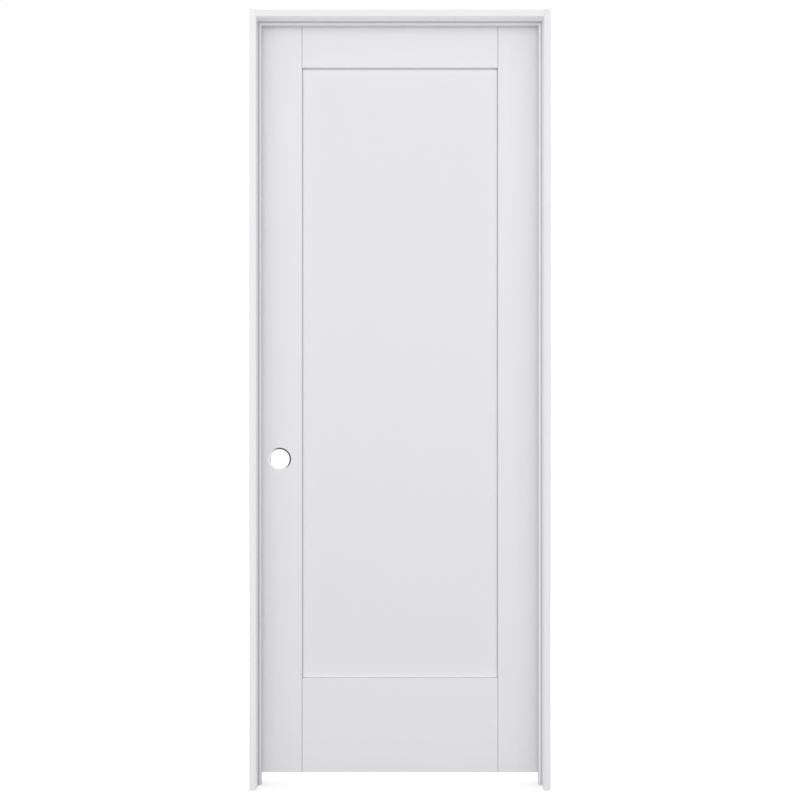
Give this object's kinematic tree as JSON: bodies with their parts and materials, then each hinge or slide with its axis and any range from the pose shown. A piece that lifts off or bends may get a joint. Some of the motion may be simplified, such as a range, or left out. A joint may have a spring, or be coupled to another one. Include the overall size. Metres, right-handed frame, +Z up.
{
  "type": "prehung interior door",
  "caption": "Recessed-panel interior door leaf hung on butt hinges in a flat timber jamb with applied stops, bored for a lockset.",
  "frame": {"origin": "on the back face of the hinge jamb, which is nailed to the stud, at its foot and at the middle of the jamb's depth", "axes": "+Z up; +X out of the hinge jamb's back, to the right as seen from the stop side; +Y to the far side, towards which the leaf opens"},
  "size_m": [0.8017, 0.1372, 2.0796],
  "materials": {
    "primed_frame": "factory white primer, satin",
    "primed_leaf": "factory white primer, satin",
    "hinge_steel": "satin nickel plate"
  },
  "bodies": {
    "frame": {"hinge_jamb": "primed_frame", "strike_jamb": "primed_frame", "head_jamb": "primed_frame", "hinge_stop": "primed_frame", "strike_stop": "primed_frame", "head_stop": "primed_frame", "top_frame_leaf": "hinge_steel", "top_hinge_pin": "hinge_steel", "middle_frame_leaf": "hinge_steel", "middle_hinge_pin": "hinge_steel", "bottom_frame_leaf": "hinge_steel", "bottom_hinge_pin": "hinge_steel"},
    "door": {"lock_stile": "primed_leaf", "hinge_stile": "primed_leaf", "top_rail": "primed_leaf", "bottom_rail": "primed_leaf", "panel": "primed_leaf", "top_door_leaf": "hinge_steel", "middle_door_leaf": "hinge_steel", "bottom_door_leaf": "hinge_steel"}
  },
  "joints": [
    {"name": "door_swing", "type": "hinge", "parent": "frame", "child": "door", "pos_m": [-0.01996, 0.07382, 1.093], "axis": [0, 0, -1], "range_deg": [0, 180]}
  ]
}
